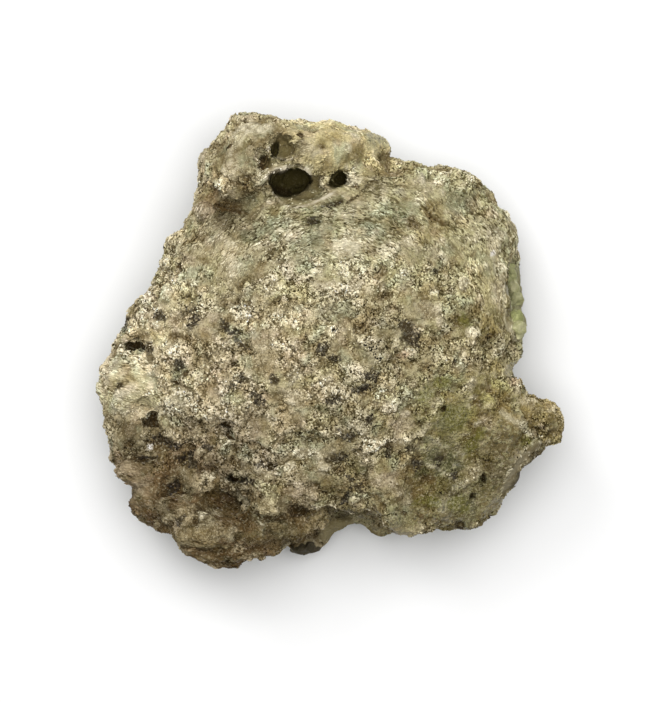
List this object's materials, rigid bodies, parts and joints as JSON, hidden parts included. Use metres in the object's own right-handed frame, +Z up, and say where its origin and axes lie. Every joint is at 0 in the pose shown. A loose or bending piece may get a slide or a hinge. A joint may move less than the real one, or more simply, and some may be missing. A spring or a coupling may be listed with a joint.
{
  "type": "trinitite specimen",
  "caption": "Natural lump of trinitite: desert sand fused to a bubbly green-grey glass crust, domed, with a rolled lip and a horn.",
  "frame": {"origin": "on the resting plane, under the centre of the piece's box", "axes": "+Z up from the resting plane, away from the smooth glass face; +X towards the horn, the longest way across; +Y towards the rolled lip"},
  "size_m": [0.03, 0.0292, 0.0115],
  "materials": {
    "fused_sand": "rough sandy crust, tan to olive, with greener glassy patches, soot specks and pits",
    "sand_grains": "half-fused quartz and feldspar grains, cream to brown, with a slight glint",
    "glass_beads": "small beads of green silica glass, glossy"
  },
  "bodies": {
    "root": {"trinitite": "fused_sand"}
  },
  "joints": []
}
